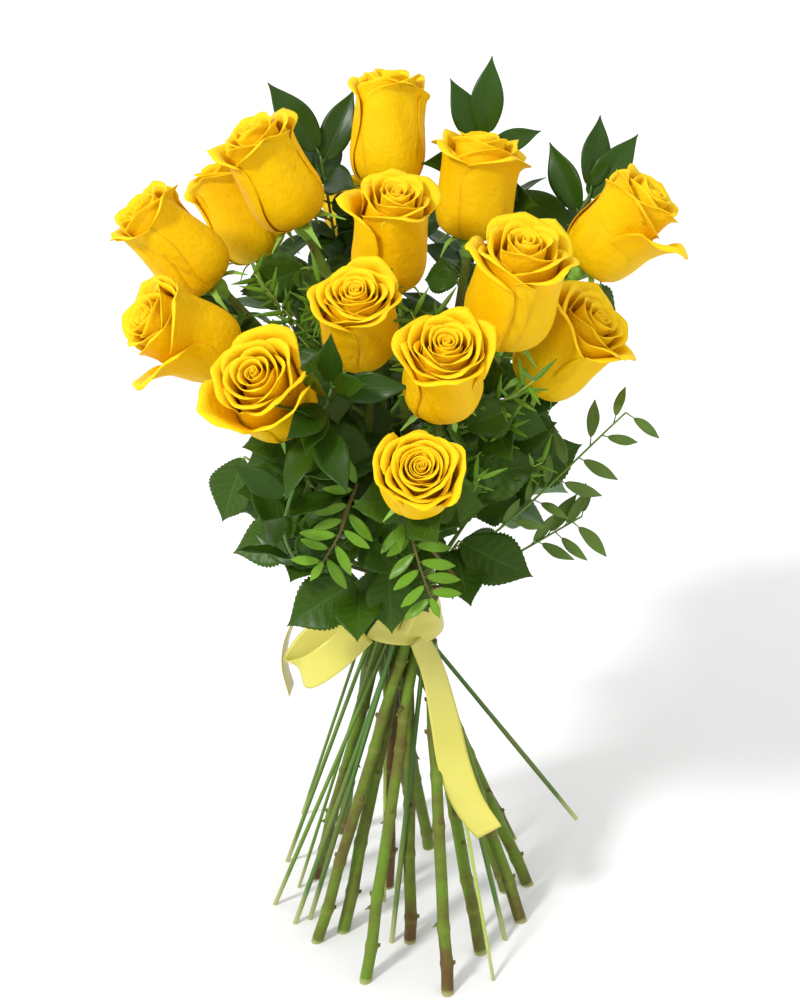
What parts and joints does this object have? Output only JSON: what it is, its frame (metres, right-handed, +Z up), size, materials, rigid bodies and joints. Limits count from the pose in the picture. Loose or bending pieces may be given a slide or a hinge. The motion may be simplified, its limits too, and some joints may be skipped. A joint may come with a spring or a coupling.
{
  "type": "bouquet of roses",
  "caption": "Hand-tied bouquet of long-stemmed yellow roses and mixed greenery, bound with twine and a satin ribbon bow, standing on its splayed cut stems.",
  "frame": {"origin": "on the surface that the cut stems stand on, under the middle of the bouquet's outer box", "axes": "+Z up along the stems to the blooms; -Y towards the front with the bow; +X to the right of the front"},
  "size_m": [0.3234, 0.3424, 0.5406],
  "materials": {
    "rose_petals": "soft matt rose petal, warm yellow, deeper between the whorls",
    "rose_stems": "green rose stem with brown patches, nodes and scars",
    "glossy_leaves": "dark glossy ruscus leaf",
    "fine_greenery": "small light-green leaflets on thin stems",
    "rose_leaves": "dark veined rose leaf, slightly glossy",
    "twine": "raffia-coloured binding twine",
    "satin_ribbon": "pale lemon satin ribbon"
  },
  "bodies": {
    "root": {"rose_01_bloom": "rose_petals", "rose_01_stem": "rose_stems", "rose_02_bloom": "rose_petals", "rose_02_stem": "rose_stems", "rose_03_bloom": "rose_petals", "rose_03_stem": "rose_stems", "rose_04_bloom": "rose_petals", "rose_04_stem": "rose_stems", "rose_05_bloom": "rose_petals", "rose_05_stem": "rose_stems", "rose_06_bloom": "rose_petals", "rose_06_stem": "rose_stems", "rose_07_bloom": "rose_petals", "rose_07_stem": "rose_stems", "rose_08_bloom": "rose_petals", "rose_08_stem": "rose_stems", "rose_09_bloom": "rose_petals", "rose_09_stem": "rose_stems", "rose_10_bloom": "rose_petals", "rose_10_stem": "rose_stems", "rose_11_bloom": "rose_petals", "rose_11_stem": "rose_stems", "rose_12_bloom": "rose_petals", "rose_12_stem": "rose_stems", "rose_13_bloom": "rose_petals", "rose_13_stem": "rose_stems", "rose_14_bloom": "rose_petals", "rose_14_stem": "rose_stems", "rose_15_bloom": "rose_petals", "rose_15_stem": "rose_stems", "binding_twine": "twine", "ribbon_wrap": "satin_ribbon", "ribbon_knot": "satin_ribbon", "ribbon_bow_loop": "satin_ribbon", "ribbon_tail_right": "satin_ribbon", "ribbon_tail_left": "satin_ribbon", "ruscus_spray_right": "glossy_leaves", "ruscus_spray_top": "glossy_leaves", "ruscus_spray_left": "glossy_leaves", "ruscus_spray_front": "glossy_leaves", "ruscus_spray_back": "glossy_leaves", "ruscus_spray_back_left": "glossy_leaves", "mastic_sprig_front": "fine_greenery", "mastic_sprig_left": "fine_greenery", "trailing_sprig_low": "fine_greenery", "trailing_sprig_high": "fine_greenery", "feather_sprig_left": "fine_greenery", "feather_sprig_right": "fine_greenery", "rose_leaf_01": "rose_leaves", "rose_leaf_02": "rose_leaves", "rose_leaf_03": "rose_leaves", "rose_leaf_04": "rose_leaves", "rose_leaf_05": "rose_leaves", "rose_leaf_06": "rose_leaves", "rose_leaf_07": "rose_leaves", "rose_leaf_08": "rose_leaves", "rose_leaf_09": "rose_leaves", "rose_leaf_10": "rose_leaves", "rose_leaf_11": "rose_leaves", "rose_leaf_12": "rose_leaves"}
  },
  "joints": []
}
